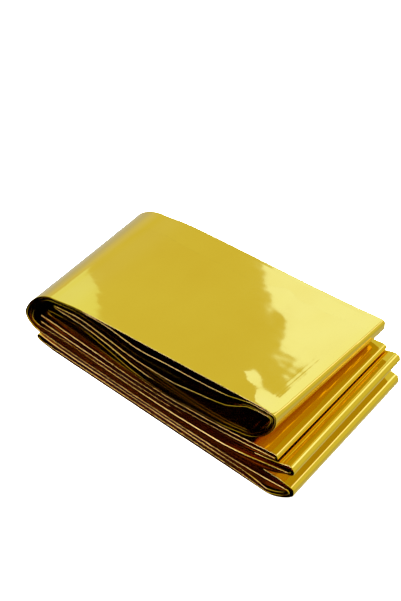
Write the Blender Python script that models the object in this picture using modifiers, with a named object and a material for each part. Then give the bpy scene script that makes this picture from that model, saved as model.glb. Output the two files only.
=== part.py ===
"""Emergency foil blanket, folded to a packet: one strip, pleated to 16 plies and then folded
back and forth into 16 layers that lie on each other, a little apart.

+X runs along the packet from its left folds to its right folds, +Y from the front edges of the
layers to the back edges, +Z up. The origin is on the surface, under the middle of the packet.
The section (x, z) of the strip is drawn at the front edge and again at rows towards the back,
where the layers lie closer together, and the surface through those rows is given its thickness
by a Solidify modifier.
"""

import bmesh
import bpy
import numpy as np

MM = 0.001

NODE = "foil_blanket"

# The packet, in millimetres.
STRIP_WIDTH = 78.0  # the blanket's 1.3 m width, pleated 16 times
LEAST_GAP = 0.42  # clear space that every two layers keep
FULL_THICKNESS = 2.4  # thickest layer: the others are shares of it

# A row per layer, from the top one down: its thickness, how far its front edge stands out of the
# packet's side, and the height of its middle over the surface at that edge, at the places along
# the packet that STATIONS names. All in millimetres.
STATIONS = (-66, -56, -42, -27, -9, 8, 25, 42, 56, 66, 73, 79)
LAYERS = (
    # thick, edge, heights at the stations
    (1.0, 0.0, (36.4, 39.6, 43.0, 45.2, 47.5, 49.6, 51.7, 53.9, 55.3, 56.1, 55.9, 55.9)),
    (1.0, -0.3, (35.0, 38.1, 41.4, 43.3, 41.4, 43.6, 45.7, 48.7, 53.8, 54.6, 54.4, 54.4)),
    (1.0, 0.4, (33.6, 36.7, 39.8, 39.3, 37.6, 39.2, 41.2, 45.0, 52.2, 53.1, 52.9, 52.9)),
    (1.0, 0.1, (32.2, 35.3, 36.3, 35.2, 33.4, 33.6, 37.3, 41.9, 50.6, 51.6, 51.4, 51.4)),
    (1.0, -0.6, (30.8, 33.9, 34.9, 33.6, 31.9, 30.2, 29.6, 30.6, 33.8, 36.0, 36.0, 36.0)),
    (1.0, -0.1, (29.4, 32.5, 33.5, 32.0, 29.6, 28.4, 28.1, 29.1, 32.3, 34.5, 34.5, 34.5)),
    (1.0, -0.5, (28.0, 31.1, 32.1, 30.2, 26.6, 25.5, 26.3, 27.6, 30.8, 33.0, 33.0, 33.0)),
    (1.0, 0.3, (26.6, 29.5, 30.6, 27.8, 23.4, 22.2, 24.2, 26.0, 29.3, 31.5, 31.5, 31.5)),
    (1.0, -0.2, (25.0, 24.6, 23.8, 22.7, 21.0, 20.8, 22.3, 24.5, 26.7, 28.4, 29.0, 29.2)),
    (1.8, 0.6, (22.0, 21.5, 20.6, 19.7, 18.8, 18.8, 20.2, 22.4, 24.8, 26.5, 27.0, 27.2)),
    (2.4, 0.2, (16.4, 16.1, 15.6, 15.2, 15.0, 15.4, 16.8, 18.6, 20.9, 23.4, 25.7, 28.0)),
    (1.6, 0.7, (12.0, 12.0, 11.9, 11.7, 11.4, 11.4, 12.0, 13.2, 16.4, 20.2, 22.7, 24.8)),
    (1.5, 0.2, (9.8, 9.6, 9.3, 9.0, 8.9, 8.9, 9.2, 9.8, 10.8, 12.0, 13.2, 14.2)),
    (1.5, 0.7, (7.4, 7.0, 6.6, 6.5, 6.5, 6.6, 6.8, 7.4, 8.4, 9.6, 11.0, 12.1)),
    (1.5, 0.4, (5.2, 4.2, 4.1, 4.2, 4.2, 4.2, 4.2, 4.0, 3.4, 2.37, 2.37, 2.37)),
    (1.2, 0.7, (1.7, 0.6, 0.6, 0.6, 0.6, 0.6, 0.6, 0.6, 0.6, 0.6, 0.6, 0.6)),
)

# The turns, where the strip folds back on itself. Layers are counted from 1 at the top. A turn's
# nest is how many turns lie in each other: the innermost joins `upper` to `lower`, the next one
# out joins `upper` - 1 to `lower` + 1. The innermost turn's runs end at x_upper and x_lower, it
# reaches to x_tip, and tip_share is how high its tip is between the lower run (0) and the upper
# one (1). A roundness of 2 is an ellipse's quarter, and 1 a straight slant. At the back edge the
# whole turn lies shift_at_back further along X.
TURNS = (
    # side, upper, lower, nest, x_upper, x_lower, x_tip, tip_share, round_upper, round_lower,
    # shift_at_back
    ("right", 4, 5, 4, 63.4, 50.0, 64.8, 0.93, 2.0, 1.5, 0.3),
    ("right", 9, 10, 1, 69.4, 69.4, 70.4, 0.50, 2.0, 2.0, 0.6),
    ("right", 11, 12, 1, 77.6, 76.6, 79.8, 0.50, 2.0, 2.0, -1.2),
    ("right", 14, 15, 2, 76.9, 66.0, 78.4, 0.93, 2.0, 1.3, -1.5),
    ("left", 3, 12, 3, -57.5, -66.5, -71.8, 0.16, 1.5, 2.0, 0.8),
    ("left", 5, 6, 2, -56.0, -56.0, -56.8, 0.50, 2.0, 2.0, 0.5),
    ("left", 8, 9, 1, -59.5, -59.5, -62.0, 0.45, 2.0, 2.0, 1.0),
    ("left", 15, 16, 1, -67.0, -66.5, -69.2, 0.50, 2.0, 2.0, 0.4),
)
FREE_ENDS = {10: -65.2, 11: -66.2}  # where the strip's two ends lie, at the left
FIRST_LAYER = 10  # the strip is followed from this free end, rightwards

# Rows of the section, from the front edge (0) to the back edge (1).
ROWS = (0.0, 0.12, 0.45, 0.8, 1.0)

# At the back edge the layers lie closer. Of the spare space between the lower layers a share is
# left there, and the loose upper layers close as far as the top comes down.
UPPER_LAYERS = 8
NO_SPARE = 0.1  # less spare space than this counts as none
BACK_DROP = (11.6, 8.6)  # how much lower the top is at the back edge
BACK_DROP_PLACES = (54.0, 69.0)  # at these places along the packet
LOWER_SPARE = (0.30, 1.15)  # the share left between the lower layers
LOWER_SPARE_PLACES = (-60.0, 60.0)
SKEW = 0.010  # how far the lowest layers' front edges stand out, per millimetre to the right
SKEWED_LAYERS = 12  # from this layer down

MITRED = 0.6  # a turn whose tip is higher than this keeps a sharp upper bend through its nest
QUARTER_POINTS = 60  # in the first drawing of a quarter of a bend
TURN_POINTS = 160  # and of a whole one
RUN_STEP = 9.0  # length of a face along a run
TURN_STEP = 2.7  # and round a turn
LEAST_TURN_POINTS = 9
BLEND = 14.0  # length over which a run meets its turn


def smooth_through(places, values, at):
    """A curve through the values that never overshoots them (monotone cubic)."""
    places = np.asarray(places, float)
    values = np.asarray(values, float)
    steps = np.diff(places)
    slopes = np.diff(values) / steps
    tangents = np.zeros(len(values))
    same_sign = slopes[:-1] * slopes[1:] > 0
    harmonic = 2 * slopes[:-1] * slopes[1:] / np.where(same_sign, slopes[:-1] + slopes[1:], 1)
    tangents[1:-1] = np.where(same_sign, harmonic, 0)
    tangents[0], tangents[-1] = slopes[0], slopes[-1]
    at = np.clip(np.asarray(at, float), places[0], places[-1])
    cell = np.clip(np.searchsorted(places, at) - 1, 0, len(steps) - 1)
    t = (at - places[cell]) / steps[cell]
    return (
        (1 + 2 * t) * (1 - t) ** 2 * values[cell]
        + t * (1 - t) ** 2 * steps[cell] * tangents[cell]
        + t**2 * (3 - 2 * t) * values[cell + 1]
        - t**2 * (1 - t) * steps[cell] * tangents[cell + 1]
    )


def thickness(layer):
    return LAYERS[layer - 1][0]


def edge_out(layer, x):
    """How far a layer's front edge stands out: the lower layers lie a little askew."""
    askew = SKEW if layer >= SKEWED_LAYERS else 0.0
    return LAYERS[layer - 1][1] + askew * x


def pitch(layer):
    """Least distance between the middles of a layer and the one under it."""
    return (thickness(layer) + thickness(layer + 1)) / 2 + LEAST_GAP


def spare(layer, x):
    """Space under a layer at the front edge, over the least that every two layers keep."""
    above = smooth_through(STATIONS, LAYERS[layer - 1][2], x)
    below = smooth_through(STATIONS, LAYERS[layer][2], x)
    return np.maximum(above - below - pitch(layer), 0)


def spare_left(layer, x):
    """The share of the spare space under a layer that is left at the back edge. The loose upper
    layers close as far as the top has to come down."""
    lower_left = np.interp(x, LOWER_SPARE_PLACES, LOWER_SPARE)
    if layer > UPPER_LAYERS:
        return lower_left
    lower = sum(spare(below, x) for below in range(UPPER_LAYERS + 1, len(LAYERS)))
    upper = sum(spare(below, x) for below in range(1, UPPER_LAYERS + 1))
    drop = np.interp(x, BACK_DROP_PLACES, BACK_DROP) - lower * (1 - lower_left)
    return np.clip(1 - drop / np.maximum(upper, NO_SPARE), 0, 1)


def height(layer, x, depth):
    """Height of the middle of a layer: the layers below it, their least gaps and what is spare."""
    bottom = len(LAYERS)
    z = smooth_through(STATIONS, LAYERS[bottom - 1][2], x)
    for above in range(bottom - 1, layer - 1, -1):
        share = 1 + (spare_left(above, x) - 1) * depth
        z = z + pitch(above) + spare(above, x) * share
    return z


def quarter(start, corner, end, roundness):
    """Points of a quarter of a superellipse from start to end, bulging towards the corner."""
    angles = np.linspace(0, np.pi / 2, QUARTER_POINTS)
    along = np.sin(angles) ** (2 / roundness)
    back = np.cos(angles) ** (2 / roundness)
    start, corner, end = map(np.asarray, (start, corner, end))
    centre = start + end - corner
    return centre + np.outer(along, corner - start) + np.outer(back, corner - end)


def evenly(points, count):
    """The same line with count points at even steps."""
    lengths = np.concatenate([[0], np.cumsum(np.hypot(*np.diff(points, axis=0).T))])
    places = np.linspace(0, lengths[-1], count)
    return np.column_stack([np.interp(places, lengths, points[:, axis]) for axis in (0, 1)])


def right_hand(points):
    """Unit vectors to the right hand of a line."""
    tangents = np.gradient(points, axis=0)
    tangents /= np.linalg.norm(tangents, axis=1)[:, None]
    return np.column_stack([tangents[:, 1], -tangents[:, 0]])


def turn_of(side, layer):
    """(turn, place in its nest, layer it leads to, whether layer is the upper of the two)."""
    for turn in TURNS:
        turn_side, upper, lower, nest = turn[:4]
        if turn_side != side:
            continue
        for place in range(nest):
            if layer in (upper - place, lower + place):
                return turn, place, upper + lower - layer, layer == upper - place
    return None


def beside(points, side, start, end):
    """A turn's line moved outwards, by start at its upper run and by end at its lower one."""
    away = np.linspace(start, end, len(points))[:, None]
    return points + right_hand(points) * (-away if side == "right" else away)


def turn_line(turn, place, depth):
    """A turn's points from its upper run to its lower run."""
    side, upper, lower, _, x_upper, x_lower, x_tip, tip_share, round_upper, round_lower = turn[:10]
    shift = turn[10] * depth
    x_upper, x_lower, x_tip = x_upper + shift, x_lower + shift, x_tip + shift
    z_upper = float(height(upper, x_upper, depth))
    z_lower = float(height(lower, x_lower, depth))
    z_tip = z_lower + (z_upper - z_lower) * tip_share
    above = sum(pitch(upper - step) for step in range(1, place + 1))
    below = sum(pitch(lower + step) for step in range(place))
    first = quarter((x_upper, z_upper), (x_tip, z_upper), (x_tip, z_tip), round_upper)
    second = quarter((x_tip, z_tip), (x_tip, z_lower), (x_lower, z_lower), round_lower)
    if tip_share < MITRED:
        innermost = evenly(np.vstack([first, second[1:]]), TURN_POINTS)
        return beside(innermost, side, above, below)
    across = above if side == "right" else -above
    rise = float(height(upper - place, x_upper + across, depth)) - z_upper
    first = first + (across, rise)
    second = beside(second, side, above, below)
    return evenly(np.vstack([first, second[1:]]), TURN_POINTS)


def run_line(layer, start, end, depth):
    """A layer's points from the end of one turn to the start of the next."""
    count = max(3, round(abs(end[0] - start[0]) / RUN_STEP) + 1)
    x = np.linspace(start[0], end[0], count)
    z = height(layer, x, depth)
    for point in (start, end):
        share = np.clip(1 - np.abs(x - point[0]) / BLEND, 0, 1)
        z = z + (point[1] - height(layer, point[0], depth)) * share**2 * (3 - 2 * share)
    return np.column_stack([x, z])


def count_turn_points():
    """Points round each turn, counted once at the front so that every row has the same number."""
    counts = {}
    for turn in TURNS:
        outermost = turn_line(turn, turn[3] - 1, 0.0)
        length = np.hypot(*np.diff(outermost, axis=0).T).sum()
        counts[turn] = max(LEAST_TURN_POINTS, round(length / TURN_STEP) + 1)
    return counts


def strip_section(depth, turn_points):
    """The strip from one free end to the other, at one depth from the front edge.

    Rows of x, z, thickness and how far the front edge stands out.
    """
    rows = []
    layer, side = FIRST_LAYER, "right"
    start = np.array([FREE_ENDS[layer], float(height(layer, FREE_ENDS[layer], depth))])
    while True:
        found = turn_of(side, layer)
        if found:
            turn, place, other, from_upper = found
            bend = turn_line(turn, place, depth)[:: 1 if from_upper else -1]
            end = bend[0]
        else:
            end = np.array([FREE_ENDS[layer], float(height(layer, FREE_ENDS[layer], depth))])
        run = run_line(layer, start, end, depth)
        thick = np.full(len(run), thickness(layer))
        rows.append(np.column_stack([run, thick, edge_out(layer, run[:, 0])]))
        if not found:
            return np.vstack(rows)
        line = evenly(bend, turn_points[turn])[1:-1]
        share = np.linspace(0, 1, len(line))
        thick = np.interp(share, (0, 1), (thickness(layer), thickness(other)))
        edges = edge_out(layer, bend[0, 0]), edge_out(other, bend[-1, 0])
        rows.append(np.column_stack([line, thick, np.interp(share, (0, 1), edges)]))
        layer, start = other, bend[-1]
        side = "left" if side == "right" else "right"


def clear_scene():
    for old in list(bpy.data.objects):
        bpy.data.objects.remove(old, do_unlink=True)


def foil_material():
    """Metallised film: gold, glossy, a little darker than its highlights."""
    material = bpy.data.materials.new("gold_foil")
    material.use_nodes = True
    shader = material.node_tree.nodes["Principled BSDF"]
    shader.inputs["Base Color"].default_value = (0.80, 0.52, 0.07, 1.0)
    shader.inputs["Metallic"].default_value = 1.0
    shader.inputs["Roughness"].default_value = 0.12
    return material


def blanket_sheet():
    """The folded strip's middle surface: a grid whose columns follow the section."""
    turn_points = count_turn_points()
    sections = [strip_section(depth, turn_points) for depth in ROWS]
    columns, rows = len(sections[0]) - 1, len(ROWS) - 1
    form = bmesh.new()
    bmesh.ops.create_grid(form, x_segments=columns, y_segments=rows, size=1.0)
    weights = {}
    for vertex in form.verts:
        column = round((vertex.co.x + 1) / 2 * columns)
        row = round((vertex.co.y + 1) / 2 * rows)
        x, z, thick, edge = sections[row][column]
        y = STRIP_WIDTH * (ROWS[row] - 0.5) - edge * (1 - ROWS[row])
        vertex.co = (x * MM, y * MM, z * MM)
        weights[vertex.index] = thick / FULL_THICKNESS
    mesh = bpy.data.meshes.new(NODE)
    form.to_mesh(mesh)
    form.free()
    return mesh, weights


def stand_over_origin(blanket):
    """Moves the packet so that the origin is under the middle of its box."""
    bpy.context.view_layer.update()
    graph = bpy.context.evaluated_depsgraph_get()
    corners = np.array(blanket.evaluated_get(graph).bound_box)
    middle = (corners.min(axis=0) + corners.max(axis=0)) / 2
    blanket.location = (-middle[0], -middle[1], -corners[:, 2].min())


def build():
    clear_scene()
    collection = bpy.data.collections.new("emergency_foil_blanket")
    bpy.context.scene.collection.children.link(collection)
    mesh, weights = blanket_sheet()
    mesh.shade_smooth()
    mesh.materials.append(foil_material())
    blanket = bpy.data.objects.new(NODE, mesh)
    collection.objects.link(blanket)
    group = blanket.vertex_groups.new(name="thickness")
    for index, weight in weights.items():
        group.add([index], weight, "REPLACE")
    solid = blanket.modifiers.new("film", "SOLIDIFY")
    solid.thickness = FULL_THICKNESS * MM
    solid.offset = 0
    solid.vertex_group = group.name
    solid.use_even_offset = True
    stand_over_origin(blanket)


build()
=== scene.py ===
"""Looks of the folded emergency foil blanket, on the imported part's frame.

The CAD part is one thick ribbon that follows the blanket's strip through its sixteen layers. Here
the strip is what it really is: the blanket's whole width, pleated to sixteen plies of film that
lie on each other and are creased in pairs along the front and back edges of the packet.

The strip's section is drawn as the part's source draws it, in that drawing's millimetres, and
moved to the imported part's place at the end. The upper eight layers are thinner here than in the
part, because sixteen plies of film need less room than a solid sheet, so they have heights of their
own. Two turns and the drop towards the back edge are closer to the photo.
"""

import math

import bpy
import numpy as np
from mathutils import Matrix, Quaternion, Vector


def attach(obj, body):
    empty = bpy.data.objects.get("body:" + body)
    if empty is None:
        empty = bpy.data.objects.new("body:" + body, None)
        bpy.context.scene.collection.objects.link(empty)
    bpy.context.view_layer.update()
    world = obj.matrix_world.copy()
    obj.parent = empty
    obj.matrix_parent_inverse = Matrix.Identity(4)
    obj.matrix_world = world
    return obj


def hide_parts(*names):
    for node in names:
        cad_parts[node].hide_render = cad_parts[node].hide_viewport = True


MM = 0.001

NODE = "foil_blanket"
PIECE = "foil_sheet"
SEED = 11  # of the unevenness of the plies

# Where the drawing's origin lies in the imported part's frame, in millimetres.
DRAWING_ORIGIN = (-2.489, 0.707, 0.0)

# ---------------------------------------------------------------------------------------------
# The strip's section. Millimetres.
# ---------------------------------------------------------------------------------------------
STRIP_WIDTH = 78.0  # the blanket's 1.3 m width, pleated 16 times
LEAST_GAP = 0.42  # clear space that every two layers keep

# A row per layer, from the top one down: its thickness, how far its front edge stands out of the
# packet's side, and the height of its middle over the surface at that edge, at the places along
# the packet that STATIONS names.
STATIONS = (-66, -56, -42, -27, -9, 8, 25, 42, 56, 66, 73, 79)
LAYERS = (
    (0.5, 0.0, (36.4, 39.6, 43.0, 45.2, 47.5, 49.6, 51.7, 53.9, 55.3, 56.2, 56.3, 56.3)),
    (0.5, -0.3, (35.4, 38.6, 41.9, 43.6, 41.6, 43.9, 46.0, 48.9, 54.2, 55.2, 55.3, 55.3)),
    (0.5, 0.4, (34.4, 37.6, 40.6, 39.8, 37.7, 39.4, 41.5, 45.3, 52.9, 54.2, 54.3, 54.3)),
    (0.5, 0.1, (33.2, 36.6, 37.4, 35.6, 33.5, 33.7, 37.4, 42.2, 51.7, 53.2, 53.3, 53.3)),
    (0.5, -0.6, (30.9, 33.9, 35.0, 33.7, 31.9, 30.2, 29.6, 30.6, 33.8, 36.0, 36.0, 36.0)),
    (0.5, -0.1, (29.9, 33.0, 34.0, 32.4, 29.8, 28.6, 28.3, 29.4, 32.6, 35.0, 35.0, 35.0)),
    (0.5, -0.5, (28.4, 31.5, 32.6, 30.6, 26.8, 25.8, 26.8, 28.2, 31.5, 34.0, 34.0, 34.0)),
    (0.5, 0.3, (26.8, 29.6, 30.8, 28.0, 23.6, 22.4, 24.6, 26.8, 30.4, 33.0, 33.0, 33.0)),
    (1.0, -0.2, (25.0, 24.6, 23.8, 22.7, 21.0, 20.8, 22.3, 24.5, 26.7, 28.4, 29.0, 29.2)),
    (1.8, 0.6, (22.0, 21.5, 20.6, 19.7, 18.8, 18.8, 20.2, 22.4, 24.8, 26.5, 27.0, 27.2)),
    (2.4, 0.2, (16.4, 16.1, 15.6, 15.2, 15.0, 15.4, 16.8, 18.6, 20.9, 23.4, 25.7, 28.0)),
    (1.6, 0.7, (12.0, 12.0, 11.9, 11.7, 11.4, 11.4, 12.0, 13.2, 16.4, 20.2, 22.7, 24.8)),
    (1.5, 0.2, (9.8, 9.6, 9.3, 9.0, 8.9, 8.9, 9.2, 9.8, 10.8, 12.0, 13.2, 14.2)),
    (1.5, 0.7, (7.4, 7.0, 6.6, 6.5, 6.5, 6.6, 6.8, 7.4, 8.4, 9.6, 11.0, 12.1)),
    (1.5, 0.4, (5.2, 4.2, 4.1, 4.2, 4.2, 4.2, 4.2, 4.0, 3.4, 2.37, 2.37, 2.37)),
    (1.2, 0.7, (1.7, 0.6, 0.6, 0.6, 0.6, 0.6, 0.6, 0.6, 0.6, 0.6, 0.6, 0.6)),
)

# The turns, where the strip folds back on itself. Layers are counted from 1 at the top. A turn's
# nest is how many turns lie in each other: the innermost joins `upper` to `lower`, the next one
# out joins `upper` - 1 to `lower` + 1. The innermost turn's runs end at x_upper and x_lower, it
# reaches to x_tip, and tip_share is how high its tip is between the lower run (0) and the upper
# one (1). A roundness of 2 is an ellipse's quarter, and 1 a straight slant. At the back edge the
# whole turn lies shift_at_back further along X.
TURNS = (
    # side, upper, lower, nest, x_upper, x_lower, x_tip, tip_share, round_upper, round_lower,
    # shift_at_back
    ("right", 4, 5, 4, 65.0, 51.0, 66.5, 0.93, 2.0, 1.5, 0.3),
    ("right", 9, 10, 1, 69.4, 69.4, 70.4, 0.50, 2.0, 2.0, 0.6),
    ("right", 11, 12, 1, 77.6, 76.6, 79.8, 0.50, 2.0, 2.0, -1.2),
    ("right", 14, 15, 2, 76.9, 66.0, 78.4, 0.93, 2.0, 1.3, -1.5),
    ("left", 3, 12, 3, -57.5, -66.5, -72.1, 0.16, 1.5, 2.0, 0.8),
    ("left", 5, 6, 2, -56.0, -56.0, -56.8, 0.50, 2.0, 2.0, 0.5),
    ("left", 8, 9, 1, -59.5, -59.5, -62.0, 0.45, 2.0, 2.0, 1.0),
    ("left", 15, 16, 1, -67.0, -66.5, -69.2, 0.50, 2.0, 2.0, 0.4),
)
FREE_ENDS = {10: -65.2, 11: -66.2}  # where the strip's two ends lie, at the left
FIRST_LAYER = 10  # the strip is followed from this free end, rightwards

# At the back edge the layers lie closer. Of the spare space between the lower layers a share is
# left there, and the loose upper layers close as far as the top comes down.
UPPER_LAYERS = 8
NO_SPARE = 0.1  # less spare space than this counts as none
BACK_DROP = (11.6, 11.6, 11.2, 10.4, 8.9)  # how much lower the top is at the back edge
BACK_DROP_PLACES = (-60.0, 25.0, 46.0, 58.0, 70.0)  # at these places along the packet
LOWER_SPARE = (0.30, 1.15)  # the share left between the lower layers
LOWER_SPARE_PLACES = (-60.0, 60.0)
SKEW = 0.010  # how far the lowest layers' front edges stand out, per millimetre to the right
SKEWED_LAYERS = 12  # from this layer down

MITRED = 0.6  # a turn whose tip is higher than this keeps a sharp upper bend through its nest
BLEND = 14.0  # length over which a run meets its turn
QUARTER_POINTS = 60  # in the first drawing of a quarter of a bend
TURN_POINTS = 160  # and of a whole one

# The columns of a section's rows: the middle of the strip, how far its plies spread to the right
# hand and to the left, how far its front edge stands out, the lips of its two sides, whether it is
# the top layer and how much a turn bends it.
X, Z, RIGHT_REACH, LEFT_REACH, EDGE_OUT, RIGHT_LIP, LEFT_LIP, ON_TOP, BENT = range(9)

# ---------------------------------------------------------------------------------------------
# The plies. Millimetres.
# ---------------------------------------------------------------------------------------------
PLIES = 16
TOP_RUN_POINTS = 64  # along the top layer, whose film shows from edge to edge
RUN_POINTS = 22  # along the layers under it
TURN_STEP = 1.3  # round the turns
LEAST_TURN_POINTS = 9
OUTER_PLIES = (0, 1, PLIES - 2, PLIES - 1)  # the two pairs that lie outermost

# Rows of a ply's mesh, as distances from its front crease; the back has the same, mirrored.
EDGE_ROWS = (0.0, 0.12, 0.26, 0.45, 0.75, 1.2)
INNER_EDGE_ROWS = (0.0, 1.0, 2.2)  # on the plies between, in reaches of their crease
MIDDLE_STEP_SHOWN = 3.0  # on the ply that shows all over
CREASE_REACH = 0.9  # over which two plies close on their crease, as a share of the pairs' pitch
REACH_LIMITS = (0.12, 0.60)
LIP_TURN = math.radians(80)  # how far a lip curls down
BACK_LIP = 0.3  # radius of the lips along the back edge
NEAR_ZERO = 1e-6  # stands in for the radius of a lip that has none

# The plies of the upper layers lie within UPPER_HALF of their layer's middle, by layer. Those of
# the lower layers spread: UP_SHARES is how much of the space over a layer's middle its own plies
# take, by layer, and FILLED how much of it they and those of the layer above take together.
UPPER_HALF = (0.5, 0.22, 0.22, 0.26, 0.26, 0.22, 0.24, 0.28)
LOWER_HALF = 1.0  # the most that the plies of a lower layer lie off its middle in a turn
UP_SHARES = {9: 0.12, 10: 0.28, 11: 0.15, 12: 0.45, 13: 0.48, 14: 0.50, 15: 0.35, 16: 0.50, 17: 0.0}
FILLED = 0.94
SPREAD_BLEND = 12.0  # length over which the plies come together towards a turn
BENT_REACH = 9.0  # length over which a turn's strain fades along a run

SAG = 0.15  # of the plies under the shown one, half way between the edges

# Soft swellings of the shown ply: middle x and y, half-length, half-width, bearing from the x axis
# and height.
SWELLINGS = (
    (60.0, -39.0, 8.0, 5.0, 0.0, 0.7),
    (43.0, -29.5, 8.0, 4.0, -20.0, 0.35),
    (64.0, -33.0, 6.0, 4.0, -20.0, -0.12),
    (60.0, -21.0, 3.5, 2.5, -35.0, 0.05),
    (20.0, 24.0, 9.0, 5.0, 60.0, 0.05),
    (-30.0, -20.0, 14.0, 6.0, 30.0, 0.04),
)

# Distances between neighbouring plies, in proportion, and how much they vary.
PLY_GAPS = (0.25, 1.0, 0.2, 1.2, 0.25, 0.9, 0.3, 1.1, 0.2, 0.9, 0.25, 1.2, 0.2, 1.0, 0.25)
GAP_WANDER = 0.6
GAP_WANDER_STEP = 38.0

# How far each of the eight front creases stands back from the foremost, from the shown face in.
CREASE_RECESS = (0.02, 0.06, 0.03, 0.08, 0.05, 0.03, 0.07, 0.02)
RECESS_WANDER = 0.05
RECESS_STEPS = (40.0, 9.0)  # between its slow ups and downs, and between its fine ones

# The lip of each layer's upper front edge, where the outer plies curl down over the others: its
# radius at LIP_STATIONS along the packet.
LIP_STATIONS = (-66, -45, -27, -9, 8, 25, 42, 60, 75)
LIPS = (
    (0.14, 0.16, 0.20, 0.20, 0.20, 0.20, 0.20, 0.20, 0.20),
    (0.10, 0.13, 0.26, 0.29, 0.27, 0.23, 0.16, 0.20, 0.20),
    (0.10, 0.05, 0.04, 0.05, 0.07, 0.04, 0.04, 0.07, 0.08),
    (0.23, 0.26, 0.25, 0.26, 0.13, 0.16, 0.16, 0.23, 0.20),
    (0.07, 0.05, 0.04, 0.04, 0.07, 0.05, 0.04, 0.04, 0.07),
    (0.08, 0.05, 0.04, 0.04, 0.04, 0.04, 0.05, 0.05, 0.05),
    (0.12, 0.20, 0.23, 0.20, 0.08, 0.05, 0.07, 0.05, 0.05),
    (0.08, 0.08, 0.08, 0.08, 0.10, 0.07, 0.08, 0.08, 0.07),
    (0.08, 0.08, 0.10, 0.10, 0.12, 0.12, 0.14, 0.16, 0.20),
    (0.32, 0.26, 0.22, 0.16, 0.12, 0.10, 0.12, 0.14, 0.24),
    (0.34, 0.26, 0.22, 0.20, 0.18, 0.14, 0.12, 0.12, 0.24),
    (0.10, 0.10, 0.14, 0.18, 0.28, 0.30, 0.32, 0.12, 0.12),
    (0.10, 0.14, 0.16, 0.14, 0.12, 0.16, 0.18, 0.16, 0.14),
    (0.16, 0.14, 0.12, 0.16, 0.18, 0.14, 0.16, 0.20, 0.24),
    (0.26, 0.26, 0.22, 0.20, 0.22, 0.22, 0.18, 0.14, 0.14),
    (0.12, 0.12, 0.14, 0.12, 0.14, 0.16, 0.14, 0.12, 0.12),
)

# ---------------------------------------------------------------------------------------------
# The film. A noise is its bumps a metre along the strip, those across it, and its detail. Depths
# are metres.
# ---------------------------------------------------------------------------------------------
DEEP_GOLD = (0.81, 0.57, 0.030, 1.0)
PALE_GOLD = (0.85, 0.63, 0.042, 1.0)
TINT_NOISE = (40.0, 25.0, 2.0)
SCUFF_NOISE = (150.0, 90.0, 3.0)
ROUGHNESS = (0.035, 0.075)  # from the clearest film to the most scuffed
WAVE_NOISE = (90.0, 110.0, 1.0)
WAVE_DEPTH = 0.00004
STREAK_NOISE = (500.0, 3.5, 2.0)
STREAK_DEPTHS = (0.0, 0.00009)  # away from the turns, and in them

# ---------------------------------------------------------------------------------------------
# Camera, floor and light. Metres, unless said otherwise.
# ---------------------------------------------------------------------------------------------
CAMERA_AZIMUTH = math.radians(39.1)
CAMERA_ELEVATION = math.radians(50.0)
# Along its own right, up and back from the drawing's origin, in the drawing's millimetres.
CAMERA_PLACE = (-3.13, 29.03, 1196.2)
CAMERA_CLIP = (0.05, 20.0)
SENSOR = 36.0  # millimetres, along the picture's long side
LENS = 155.74  # millimetres
FLOOR_SIZE = 6.0
FLOOR_WHITE = (0.9, 0.9, 0.9, 1.0)
FLOOR_ROUGHNESS = 0.9

# The world, as the film mirrors it: a room with a floor, and a dim screen. The screen's edges are
# the values of a direction's x and y between which it fades in, and the horizon's those of its z.
ROOM_COLOUR = (0.75, 0.75, 0.75, 1.0)
FLOOR_COLOUR = (0.60, 0.60, 0.60, 1.0)
HORIZON = (-0.3, 0.0)
SCREEN_COLOUR = (0.105, 0.078, 0.13, 1.0)
SCREEN_LEFT = (-0.70, -0.60)
SCREEN_RIGHT = (-0.16, -0.28)
SCREEN_FRONT = (0.10, -0.10)
SEEN_COLOUR = (1.0, 1.0, 1.0, 1.0)  # what the camera itself sees behind the packet
GLOSSY_BOUNCES = 12  # light is mirrored many times between the layers

# Bright cards behind the packet, where its top mirrors them. They stand in one plane, at
# CARD_DISTANCE, on CARD_BEARING from the y axis.
CARD_DISTANCE = 0.4
CARD_BEARING = math.radians(-42)
CARD_SIZE = (0.45, 0.5)
CARDS = (
    # name, side, place of its edge along the cards' plane and up, how far that leans, radiance
    ("right_card", 1, (0.096, 0.461), math.radians(11), (0.34, 0.60, 4.6)),
    ("left_card", -1, (-0.019, 0.342), math.radians(22), (0.16, 0.33, 1.25)),
)
LAMPS = (
    # name, place, size, radiance, colour, the only kind of light it gives
    ("front_card", (-0.80, -1.72, 0.50), (1.0, 0.70), 3.6, (1.0, 1.0, 7.0), "glossy"),
    ("fold_card", (0.45, 0.75, 1.215), (0.45, 0.9), 0.8, (1.0, 1.1, 8.0), "glossy"),
    ("overhead", (0.0, 0.0, 1.2), (2.4, 2.4), 14.0, (1.0, 1.0, 1.0), "diffuse"),
)


def smooth_through(places, values, at):
    """A curve through the values that never overshoots them (monotone cubic)."""
    places = np.asarray(places, float)
    values = np.asarray(values, float)
    steps = np.diff(places)
    slopes = np.diff(values) / steps
    tangents = np.zeros(len(values))
    same_sign = slopes[:-1] * slopes[1:] > 0
    harmonic = 2 * slopes[:-1] * slopes[1:] / np.where(same_sign, slopes[:-1] + slopes[1:], 1)
    tangents[1:-1] = np.where(same_sign, harmonic, 0)
    tangents[0], tangents[-1] = slopes[0], slopes[-1]
    at = np.clip(np.asarray(at, float), places[0], places[-1])
    cell = np.clip(np.searchsorted(places, at) - 1, 0, len(steps) - 1)
    t = (at - places[cell]) / steps[cell]
    return (
        (1 + 2 * t) * (1 - t) ** 2 * values[cell]
        + t * (1 - t) ** 2 * steps[cell] * tangents[cell]
        + t**2 * (3 - 2 * t) * values[cell + 1]
        - t**2 * (1 - t) * steps[cell] * tangents[cell + 1]
    )


def wander(random, length, step, size):
    """Smooth unevenness within size, with its ups and downs about step apart: a function of
    the place along a line of that length."""
    places = np.linspace(0, length, max(4, math.ceil(length / step) + 1))
    values = random.uniform(-size, size, len(places))
    return lambda at: smooth_through(places, values, at)


def thickness(layer):
    return LAYERS[layer - 1][0]


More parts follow.
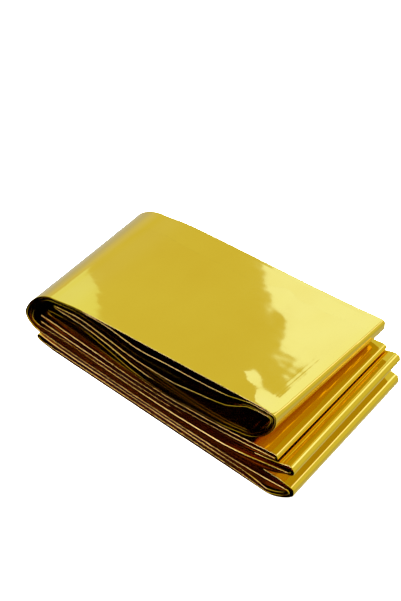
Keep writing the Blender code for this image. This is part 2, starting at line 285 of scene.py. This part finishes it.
def edge_out(layer, x):
    """How far a layer's front edge stands out: the lower layers lie a little askew."""
    askew = SKEW if layer >= SKEWED_LAYERS else 0.0
    return LAYERS[layer - 1][1] + askew * x


def pitch(layer):
    """Least distance between the middles of a layer and the one under it."""
    return (thickness(layer) + thickness(layer + 1)) / 2 + LEAST_GAP


def spare(layer, x):
    """Space under a layer at the front edge, over the least that every two layers keep."""
    above = smooth_through(STATIONS, LAYERS[layer - 1][2], x)
    below = smooth_through(STATIONS, LAYERS[layer][2], x)
    return np.maximum(above - below - pitch(layer), 0)


def spare_left(layer, x):
    """The share of the spare space under a layer that is left at the back edge. The loose upper
    layers close as far as the top has to come down."""
    lower_left = np.interp(x, LOWER_SPARE_PLACES, LOWER_SPARE)
    if layer > UPPER_LAYERS:
        return lower_left
    lower = sum(spare(below, x) for below in range(UPPER_LAYERS + 1, len(LAYERS)))
    upper = sum(spare(below, x) for below in range(1, UPPER_LAYERS + 1))
    drop = smooth_through(BACK_DROP_PLACES, BACK_DROP, x) - lower * (1 - lower_left)
    return np.clip(1 - drop / np.maximum(upper, NO_SPARE), 0, 1)


def height(layer, x, depth):
    """Height of the middle of a layer: the layers below it, their least gaps and what is spare."""
    bottom = len(LAYERS)
    z = smooth_through(STATIONS, LAYERS[bottom - 1][2], x)
    for above in range(bottom - 1, layer - 1, -1):
        share = 1 + (spare_left(above, x) - 1) * depth
        z = z + pitch(above) + spare(above, x) * share
    return z


def quarter(start, corner, end, roundness):
    """Points of a quarter of a superellipse from start to end, bulging towards the corner."""
    angles = np.linspace(0, np.pi / 2, QUARTER_POINTS)
    along = np.sin(angles) ** (2 / roundness)
    back = np.cos(angles) ** (2 / roundness)
    start, corner, end = map(np.asarray, (start, corner, end))
    centre = start + end - corner
    return centre + np.outer(along, corner - start) + np.outer(back, corner - end)


def evenly(points, count):
    """The same line with count points at even steps."""
    lengths = np.concatenate([[0], np.cumsum(np.hypot(*np.diff(points, axis=0).T))])
    places = np.linspace(0, lengths[-1], count)
    return np.column_stack([np.interp(places, lengths, points[:, axis]) for axis in (0, 1)])


def right_hand(points):
    """Unit vectors to the right hand of a line."""
    tangents = np.gradient(points, axis=0)
    tangents /= np.linalg.norm(tangents, axis=1)[:, None]
    return np.column_stack([tangents[:, 1], -tangents[:, 0]])


def turn_of(side, layer):
    """(turn, place in its nest, layer it leads to, whether layer is the upper of the two)."""
    for turn in TURNS:
        turn_side, upper, lower, nest = turn[:4]
        if turn_side != side:
            continue
        for place in range(nest):
            if layer in (upper - place, lower + place):
                return turn, place, upper + lower - layer, layer == upper - place
    return None


def beside(points, side, start, end):
    """A turn's line moved outwards, by start at its upper run and by end at its lower one."""
    away = np.linspace(start, end, len(points))[:, None]
    return points + right_hand(points) * (-away if side == "right" else away)


def turn_line(turn, place, depth):
    """A turn's points from its upper run to its lower run."""
    side, upper, lower, _, *ends, tip_share, round_upper, round_lower, shift_at_back = turn
    x_upper, x_lower, x_tip = (x + shift_at_back * depth for x in ends)
    z_upper = float(height(upper, x_upper, depth))
    z_lower = float(height(lower, x_lower, depth))
    z_tip = z_lower + (z_upper - z_lower) * tip_share
    above = sum(pitch(upper - step) for step in range(1, place + 1))
    below = sum(pitch(lower + step) for step in range(place))
    first = quarter((x_upper, z_upper), (x_tip, z_upper), (x_tip, z_tip), round_upper)
    second = quarter((x_tip, z_tip), (x_tip, z_lower), (x_lower, z_lower), round_lower)
    if tip_share < MITRED:
        innermost = evenly(np.vstack([first, second[1:]]), TURN_POINTS)
        return beside(innermost, side, above, below)
    across = above if side == "right" else -above
    rise = float(height(upper - place, x_upper + across, depth)) - z_upper
    first = first + (across, rise)
    second = beside(second, side, above, below)
    return evenly(np.vstack([first, second[1:]]), TURN_POINTS)


def run_line(layer, start, end, depth):
    """A layer's points from the end of one turn to the start of the next."""
    x = np.linspace(start[0], end[0], TOP_RUN_POINTS if layer == 1 else RUN_POINTS)
    z = height(layer, x, depth)
    for point in (start, end):
        share = np.clip(1 - np.abs(x - point[0]) / BLEND, 0, 1)
        z = z + (point[1] - height(layer, point[0], depth)) * share**2 * (3 - 2 * share)
    return np.column_stack([x, z])


def count_turn_points():
    """Points round each turn, counted once at the front so that the back has as many."""
    counts = {}
    for turn in TURNS:
        *_, nest = turn[:4]
        outermost = turn_line(turn, nest - 1, 0.0)
        length = np.hypot(*np.diff(outermost, axis=0).T).sum()
        counts[turn] = max(LEAST_TURN_POINTS, round(length / TURN_STEP) + 1)
    return counts


def plies_reach(layer, x, depth):
    """How far the plies of a layer spread above its middle and below it."""
    if layer <= UPPER_LAYERS:
        half = np.full(len(x), UPPER_HALF[layer - 1])
        return half, half
    middle = height(layer, x, depth)
    over = height(layer - 1, x, depth) - middle
    under = middle - height(layer + 1, x, depth) if layer < len(LAYERS) else middle
    return UP_SHARES[layer] * over, (FILLED - UP_SHARES[layer + 1]) * under


def run_rows(layer, line, depth, going_right):
    """A run's rows of the section."""
    x = line[:, 0]
    widest = UPPER_HALF[layer - 1] if layer <= UPPER_LAYERS else LOWER_HALF
    half = min(thickness(layer) / 2, widest)
    from_turn = np.minimum(np.abs(x - x[0]), np.abs(x - x[-1]))
    spread = np.clip(from_turn / SPREAD_BLEND, 0, 1)
    up, down = (half + (reach - half) * spread for reach in plies_reach(layer, x, depth))
    lip = smooth_through(LIP_STATIONS, LIPS[layer - 1], x)
    none = np.zeros(len(line))
    sides = (down, up) if going_right else (up, down)
    lips = (none, lip) if going_right else (lip, none)
    bent = np.clip(1 - from_turn / BENT_REACH, 0, 1)
    top = np.full(len(line), layer == 1)
    return np.column_stack([line, *sides, edge_out(layer, x), *lips, top, bent])


def turn_rows(line, before, after):
    """A turn's rows, whose values change evenly from the run before to the run after. A turn is
    never part of the top, and it is bent all over."""
    share = np.linspace(0, 1, len(line))[:, None]
    before, after = before[RIGHT_REACH:], after[RIGHT_REACH:]
    rows = np.column_stack([line, before + (after - before) * share])
    rows[:, ON_TOP] = 0.0
    rows[:, BENT] = 1.0
    return rows


def strip_section(depth, turn_points):
    """The strip from one free end to the other at one depth from the front edge (0) to the back
    edge (1): the rows of its runs and turns."""
    runs, turns = [], []
    layer, going_right = FIRST_LAYER, True
    start = np.array([FREE_ENDS[layer], float(height(layer, FREE_ENDS[layer], depth))])
    while True:
        found = turn_of("right" if going_right else "left", layer)
        if found:
            turn, place, other, from_upper = found
            line = turn_line(turn, place, depth)[:: 1 if from_upper else -1]
            end = line[0]
        else:
            end = np.array([FREE_ENDS[layer], float(height(layer, FREE_ENDS[layer], depth))])
        runs.append(run_rows(layer, run_line(layer, start, end, depth), depth, going_right))
        if not found:
            break
        turns.append(evenly(line, turn_points[turn])[1:-1])
        layer, start = other, line[-1]
        going_right = not going_right
    rows = [runs[0]]
    for line, before, after in zip(turns, runs, runs[1:]):
        rows += [turn_rows(line, before[-1], after[0]), after]
    return np.vstack(rows)


def middle_rows(ply):
    """Where a ply's mesh has rows between its edges' rows, from the front crease on: the ply that
    shows all over has many."""
    if ply > 0:
        return [STRIP_WIDTH / 2]
    count = round((STRIP_WIDTH - 2 * EDGE_ROWS[-1]) / MIDDLE_STEP_SHOWN)
    return np.linspace(EDGE_ROWS[-1], STRIP_WIDTH - EDGE_ROWS[-1], count + 1)[1:-1]


def ply_places(random, along):
    """Where each ply lies between the strip's right hand (0) and its left hand (1)."""
    gaps = []
    for gap in PLY_GAPS:
        vary = wander(random, along[-1], GAP_WANDER_STEP, GAP_WANDER)
        gaps.append(gap * np.exp(vary(along)))
    places = np.vstack([np.zeros(len(along)), np.cumsum(gaps, axis=0)])
    return places / places[-1]


def lip_curve(distance, radius):
    """A pair's edge that curls down over the edges behind it. Returns how far the film lies from
    the lip's root, how far it has dropped, and how much it has turned."""
    turned = np.clip(LIP_TURN - distance / np.maximum(radius, NEAR_ZERO), 0, LIP_TURN)
    out = np.where(turned > 0, -radius * np.sin(turned), distance - radius * LIP_TURN)
    return out, radius * (1 - np.cos(turned)), turned


class Strip:
    """The strip's two drawn sections, and the unevenness of its plies and creases."""

    def __init__(self, random):
        turn_points = count_turn_points()
        self.sections = [strip_section(depth, turn_points) for depth in (0.0, 1.0)]
        self.normals = [right_hand(section[:, [X, Z]]) for section in self.sections]
        steps = np.hypot(*np.diff(self.sections[0][:, [X, Z]], axis=0).T)
        self.along = np.concatenate([[0], np.cumsum(steps)])
        self.places = ply_places(random, self.along)
        pair_pitch = self.sections[0][:, [RIGHT_REACH, LEFT_REACH]].sum(axis=1) * 2 / PLIES
        self.reach = np.clip(CREASE_REACH * pair_pitch, *REACH_LIMITS)
        pairs = PLIES // 2 + 1
        self.recess = {
            end: [self.crease_recess(random, pair) for pair in range(pairs)]
            for end in ("front", "back")
        }

    def crease_recess(self, random, pair):
        """How far a pair's crease stands back, along the strip."""
        base = CREASE_RECESS[pair % len(CREASE_RECESS)]
        slow = wander(random, self.along[-1], RECESS_STEPS[0], RECESS_WANDER)
        fine = wander(random, self.along[-1], RECESS_STEPS[1], RECESS_WANDER / 2)
        return np.maximum(base + slow(self.along) + fine(self.along), 0)

    def section(self, share):
        """The section's rows and right-hand vectors, at shares of the way to the back edge."""
        share = np.broadcast_to(share, len(self.along))[:, None]
        rows = self.sections[0] * (1 - share) + self.sections[1] * share
        normals = self.normals[0] * (1 - share) + self.normals[1] * share
        return rows, normals

    def off_middle(self, rows, places):
        """How far to the right hand of the strip's middle these places in it are."""
        to_right, to_left = rows[:, RIGHT_REACH], rows[:, LEFT_REACH]
        return to_right - places * (to_right + to_left)

    def edge_rows(self, ply):
        """Distances of a ply's rows from either of its creases."""
        if ply in OUTER_PLIES:
            return EDGE_ROWS
        return [row * self.reach for row in INNER_EDGE_ROWS]

    def edge_line(self, ply, partner, rows, from_edge, at_front):
        """Where the pair that a crease joins lies beside it: how far in from the packet's side,
        how far it has dropped and how much it has turned."""
        if ply in OUTER_PLIES:
            lip = rows[:, RIGHT_LIP if ply < PLIES / 2 else LEFT_LIP]
            return lip_curve(from_edge, lip if at_front else np.full(len(rows), BACK_LIP))
        inwards, drop, turned = lip_curve(from_edge, np.zeros(len(rows)))
        end = "front" if at_front else "back"
        return inwards + self.recess[end][max(ply, partner) // 2], drop, turned

    def row(self, ply, from_edge, at_front):
        """A row of points of a ply, at one distance from its front crease or its back one."""
        depth = from_edge if at_front else STRIP_WIDTH - from_edge
        rows, normals = self.section(depth / STRIP_WIDTH)
        step = 1 if (ply % 2 == 0) == at_front else -1
        partner = min(max(ply + step, 0), PLIES - 1)
        side = 1 if ply < PLIES / 2 else -1
        inwards, drop, turned = self.edge_line(ply, partner, rows, from_edge, at_front)
        pair = self.off_middle(rows, (self.places[ply] + self.places[partner]) / 2)
        apart = self.off_middle(rows, self.places[ply]) - pair
        apart = apart * np.minimum(from_edge / self.reach, 1.0)
        inwards = inwards + side * apart * np.sin(turned)
        off = pair - side * drop + apart * np.cos(turned)
        xz = rows[:, [X, Z]] + normals * off[:, None]
        front = -STRIP_WIDTH / 2 - rows[:, EDGE_OUT]
        y = front + inwards if at_front else STRIP_WIDTH / 2 - inwards
        return np.column_stack([xz[:, 0], y, xz[:, 1]])

    def ply_points(self, ply):
        """A ply's rows from its front crease to its back one."""
        edge = self.edge_rows(ply)
        front = [self.row(ply, distance, True) for distance in edge]
        middle = [self.row(ply, distance, True) for distance in middle_rows(ply)]
        back = [self.row(ply, distance, False) for distance in edge[::-1]]
        if ply > 0:
            for row in middle:
                row[:, 2] -= SAG * self.sections[0][:, ON_TOP]
        return front + middle + back


def swelling(x, y):
    """How far the shown ply swells up at these places."""
    lift = np.zeros(len(x))
    for middle_x, middle_y, length, width, bearing, rise in SWELLINGS:
        turn = math.radians(bearing)
        along = (x - middle_x) * math.cos(turn) + (y - middle_y) * math.sin(turn)
        across = (y - middle_y) * math.cos(turn) - (x - middle_x) * math.sin(turn)
        lift += rise * np.exp(-((along / length) ** 2) - (across / width) ** 2)
    return lift


def lift_shares(ply):
    """The share of the swellings that each row of a ply takes: all on the shown ply, less and
    less away from the crease on its partner, and none on the others."""
    if ply == 0:
        return [1.0] * (2 * len(EDGE_ROWS) + len(middle_rows(0)))
    if ply > 1:
        return []
    return [1 - row / EDGE_ROWS[-1] for row in EDGE_ROWS]


def sheet_points(strip):
    """The sheet's points, in rows from one long edge to the other, and which rows are creases."""
    rows, creases = [], []
    for ply in range(PLIES):
        points = strip.ply_points(ply)
        for row, share in zip(points, lift_shares(ply)):
            row[:, 2] += strip.sections[0][:, ON_TOP] * share * swelling(row[:, 0], row[:, 1])
        if ply % 2 == 0:
            points = points[::-1]
        rows += points[1:] if rows else points
        creases.append(len(rows) - 1)
    return np.array(rows), creases[:-1]


def grid_mesh(name, points, sharp_rows):
    """A smooth mesh of quads over rows of points, sharp along some of the rows."""
    rows, columns = points.shape[:2]
    corner = np.arange(rows * columns).reshape(rows, columns)
    quads = np.stack([corner[:-1, :-1], corner[:-1, 1:], corner[1:, 1:], corner[1:, :-1]], axis=-1)
    mesh = bpy.data.meshes.new(name)
    mesh.from_pydata(points.reshape(-1, 3), [], quads.reshape(-1, 4).tolist())
    mesh.shade_smooth()
    ends = np.zeros(len(mesh.edges) * 2, int)
    mesh.edges.foreach_get("vertices", ends)
    row_of = ends.reshape(-1, 2) // columns
    sharp = (row_of[:, 0] == row_of[:, 1]) & np.isin(row_of[:, 0], sharp_rows)
    mesh.attributes.new("sharp_edge", "BOOLEAN", "EDGE").data.foreach_set("value", sharp)
    mesh.update()
    return mesh


def add_film_map(mesh, points, bent):
    """The film's own coordinates in metres, along the strip and across the sheet, and how much
    each point is bent by a turn."""
    rows, columns = points.shape[:2]
    along = np.concatenate([[0], np.cumsum(np.linalg.norm(np.diff(points[0], axis=0), axis=1))])
    across = np.linalg.norm(np.diff(points, axis=0), axis=2).mean(axis=1)
    across = np.concatenate([[0], np.cumsum(across)])
    film = np.stack(np.broadcast_arrays(along[None, :], across[:, None]), axis=-1).reshape(-1, 2)
    corners = np.zeros(len(mesh.loops), int)
    mesh.loops.foreach_get("vertex_index", corners)
    layer = mesh.uv_layers.new(name="film")
    layer.data.foreach_set("uv", (film[corners] * MM).ravel())
    spread = np.broadcast_to(bent, (rows, columns)).ravel()
    mesh.attributes.new("bent", "FLOAT", "POINT").data.foreach_set("value", spread)


def new_node(tree, kind, **inputs):
    """A node with constants on its inputs, whose names have _ for each space."""
    node = tree.nodes.new(kind)
    for name, value in inputs.items():
        node.inputs[name.replace("_", " ")].default_value = value
    return node


def film_noise(tree, film, along, across, detail):
    """Noise over the film's own coordinates."""
    stretch = new_node(tree, "ShaderNodeMapping", Scale=(along, across, 1.0))
    tree.links.new(film, stretch.inputs["Vector"])
    noise = new_node(tree, "ShaderNodeTexNoise", Scale=1.0, Detail=detail, Roughness=0.5)
    noise.noise_dimensions = "2D"
    tree.links.new(stretch.outputs[0], noise.inputs["Vector"])
    return noise.outputs["Fac"]


def add_bump(tree, height, depth, normal=None):
    """A bump of a height field, depth metres from its lowest to its highest."""
    bump = new_node(tree, "ShaderNodeBump", Strength=1.0)
    tree.links.new(height, bump.inputs["Height"])
    if isinstance(depth, float):
        bump.inputs["Distance"].default_value = depth
    else:
        tree.links.new(depth, bump.inputs["Distance"])
    if normal:
        tree.links.new(normal, bump.inputs["Normal"])
    return bump.outputs[0]


def scaled(tree, value, low, high):
    """A value from 0 to 1 brought to the span from low to high."""
    span = new_node(tree, "ShaderNodeMapRange", To_Min=low, To_Max=high)
    tree.links.new(value, span.inputs["Value"])
    return span.outputs[0]


def foil_material():
    """Gold film: a near mirror with faint waves all over, creases beside each turn along the
    fold, and scuffs that dull it a little."""
    material = bpy.data.materials.new("gold_foil")
    material.use_nodes = True
    tree = material.node_tree
    shader = tree.nodes["Principled BSDF"]
    shader.inputs["Metallic"].default_value = 1.0
    coordinates = tree.nodes.new("ShaderNodeUVMap")
    coordinates.uv_map = "film"
    film = coordinates.outputs["UV"]
    bent = tree.nodes.new("ShaderNodeAttribute")
    bent.attribute_name = "bent"
    tint = tree.nodes.new("ShaderNodeMix")
    tint.data_type = "RGBA"
    tint.inputs["A"].default_value = DEEP_GOLD
    tint.inputs["B"].default_value = PALE_GOLD
    tree.links.new(film_noise(tree, film, *TINT_NOISE), tint.inputs["Factor"])
    tree.links.new(tint.outputs["Result"], shader.inputs["Base Color"])
    scuffs = scaled(tree, film_noise(tree, film, *SCUFF_NOISE), *ROUGHNESS)
    tree.links.new(scuffs, shader.inputs["Roughness"])
    waves = add_bump(tree, film_noise(tree, film, *WAVE_NOISE), WAVE_DEPTH)
    streak_depth = scaled(tree, bent.outputs["Fac"], *STREAK_DEPTHS)
    streaks = add_bump(tree, film_noise(tree, film, *STREAK_NOISE), streak_depth, waves)
    tree.links.new(streaks, shader.inputs["Normal"])
    return material


def make_sheet(random):
    """The blanket: the only piece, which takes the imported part's place."""
    strip = Strip(random)
    points, creases = sheet_points(strip)
    mesh = grid_mesh(PIECE, (points + DRAWING_ORIGIN) * MM, creases)
    add_film_map(mesh, points, strip.sections[0][:, BENT])
    mesh.materials.append(foil_material())
    sheet = bpy.data.objects.new(PIECE, mesh)
    bpy.context.scene.collection.objects.link(sheet)
    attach(sheet, "root")
    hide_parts(NODE)


def make_floor():
    """A white floor, which the film mirrors as part of the world."""
    half = FLOOR_SIZE / 2
    corners = [(-half, -half, 0), (half, -half, 0), (half, half, 0), (-half, half, 0)]
    mesh = bpy.data.meshes.new("floor")
    mesh.from_pydata(corners, [], [(0, 1, 2, 3)])
    material = bpy.data.materials.new("floor_white")
    material.use_nodes = True
    shader = material.node_tree.nodes["Principled BSDF"]
    shader.inputs["Base Color"].default_value = FLOOR_WHITE
    shader.inputs["Roughness"].default_value = FLOOR_ROUGHNESS
    mesh.materials.append(material)
    floor = bpy.data.objects.new("floor", mesh)
    bpy.context.scene.collection.objects.link(floor)
    floor.visible_glossy = False


def camera_axes():
    """The camera's own right, up and back."""
    level = math.cos(CAMERA_ELEVATION)
    right = Vector((math.cos(CAMERA_AZIMUTH), math.sin(CAMERA_AZIMUTH), 0))
    back = Vector((right.y * level, -right.x * level, math.sin(CAMERA_ELEVATION)))
    return right, back.cross(right), back


def make_camera():
    data = bpy.data.cameras.new("camera")
    data.sensor_width = SENSOR
    data.lens = LENS
    data.clip_start, data.clip_end = CAMERA_CLIP
    camera = bpy.data.objects.new("camera", data)
    bpy.context.scene.collection.objects.link(camera)
    axes = camera_axes()
    place = Vector(DRAWING_ORIGIN)
    for axis, distance in zip(axes, CAMERA_PLACE):
        place += axis * distance
    turned = Matrix(axes).transposed().to_4x4()
    camera.matrix_world = Matrix.Translation(place * MM) @ turned
    bpy.context.scene.camera = camera


def ramp_of(tree, value, start, end):
    """0 where a value is at start or beyond it, 1 at end or beyond it."""
    ramp = new_node(tree, "ShaderNodeMapRange", From_Min=start, From_Max=end)
    tree.links.new(value, ramp.inputs["Value"])
    return ramp.outputs[0]


def product(tree, first, second):
    """The product of two nodes' outputs."""
    node = tree.nodes.new("ShaderNodeMath")
    node.operation = "MULTIPLY"
    tree.links.new(first, node.inputs[0])
    tree.links.new(second, node.inputs[1])
    return node.outputs[0]


def mixed(tree, factor, first, second):
    """A colour between first, itself a colour or another node's output, and the colour second."""
    node = tree.nodes.new("ShaderNodeMix")
    node.data_type = "RGBA"
    tree.links.new(factor, node.inputs["Factor"])
    if isinstance(first, tuple):
        node.inputs["A"].default_value = first
    else:
        tree.links.new(first, node.inputs["A"])
    node.inputs["B"].default_value = second
    return node.outputs["Result"]


def make_world():
    """The studio as the film mirrors it: a pale room, and a dim screen in front of the packet on
    the left, in which its front edges show. The camera itself sees white."""
    world = bpy.data.worlds.new("studio")
    bpy.context.scene.world = world
    world.use_nodes = True
    tree = world.node_tree
    place = tree.nodes.new("ShaderNodeTexCoord")
    axes = tree.nodes.new("ShaderNodeSeparateXYZ")
    tree.links.new(place.outputs["Generated"], axes.inputs[0])
    above = ramp_of(tree, axes.outputs["Z"], *HORIZON)
    room = mixed(tree, above, FLOOR_COLOUR, ROOM_COLOUR)
    from_left = ramp_of(tree, axes.outputs["X"], *SCREEN_LEFT)
    from_right = ramp_of(tree, axes.outputs["X"], *SCREEN_RIGHT)
    in_front = ramp_of(tree, axes.outputs["Y"], *SCREEN_FRONT)
    on_screen = product(tree, product(tree, from_left, from_right), in_front)
    room = mixed(tree, on_screen, room, SCREEN_COLOUR)
    tree.links.new(room, tree.nodes["Background"].inputs["Color"])
    seen = new_node(tree, "ShaderNodeBackground", Color=SEEN_COLOUR)
    path = tree.nodes.new("ShaderNodeLightPath")
    mix = tree.nodes.new("ShaderNodeMixShader")
    tree.links.new(path.outputs["Is Camera Ray"], mix.inputs[0])
    tree.links.new(tree.nodes["Background"].outputs[0], mix.inputs[1])
    tree.links.new(seen.outputs[0], mix.inputs[2])
    tree.links.new(mix.outputs[0], tree.nodes["World Output"].inputs[0])


def softbox(name, place, target, size, radiance, colour, only, lean=0.0):
    """An evenly bright rectangle that the camera doesn't see. only is "glossy" for a card that
    just shows in the film, and "diffuse" for a lamp that just lights the floor."""
    data = bpy.data.lights.new(name, "AREA")
    data.shape = "RECTANGLE"
    data.size, data.size_y = size
    data.energy = radiance * math.pi * size[0] * size[1]
    data.color = colour
    light = bpy.data.objects.new(name, data)
    bpy.context.scene.collection.objects.link(light)
    light.location = place
    facing = (Vector(target) - Vector(place)).to_track_quat("-Z", "Y")
    light.rotation_euler = (facing @ Quaternion((0, 0, 1), lean)).to_euler()
    light.visible_camera = False
    light.visible_glossy = only == "glossy"
    light.visible_diffuse = only == "diffuse"


def card(name, side, edge, lean, colour):
    """A bright card that stands behind the packet, across the line in which the top mirrors the
    room. Its edge towards the middle passes through the point edge, as a distance along the card
    and a height, and leans to the right by lean. side is -1 for a card left of that edge."""
    forward = Vector((math.sin(CARD_BEARING), math.cos(CARD_BEARING), 0))
    across = Vector((math.cos(CARD_BEARING), -math.sin(CARD_BEARING), 0))
    outwards = across * math.cos(lean) - Vector((0, 0, math.sin(lean)))
    place = forward * CARD_DISTANCE + across * edge[0] + Vector((0, 0, edge[1]))
    middle = place + outwards * side * CARD_SIZE[0] / 2
    softbox(name, middle, middle - forward, CARD_SIZE, 1.0, colour, "glossy", lean)


def make_lights():
    for name, side, edge, lean, colour in CARDS:
        card(name, side, edge, lean, colour)
    for name, place, size, radiance, colour, only in LAMPS:
        softbox(name, place, (0, 0, 0), size, radiance, colour, only)


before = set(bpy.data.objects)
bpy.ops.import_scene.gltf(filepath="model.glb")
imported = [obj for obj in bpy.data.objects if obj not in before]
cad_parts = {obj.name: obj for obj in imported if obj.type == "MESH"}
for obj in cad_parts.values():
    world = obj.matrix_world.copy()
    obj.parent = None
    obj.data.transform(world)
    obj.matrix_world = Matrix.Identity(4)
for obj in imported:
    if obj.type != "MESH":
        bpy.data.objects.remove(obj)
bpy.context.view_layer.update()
make_sheet(np.random.default_rng(SEED))
make_floor()
make_camera()
make_world()
make_lights()
bpy.context.scene.view_settings.view_transform = "Standard"
bpy.context.scene.cycles.glossy_bounces = GLOSSY_BOUNCES
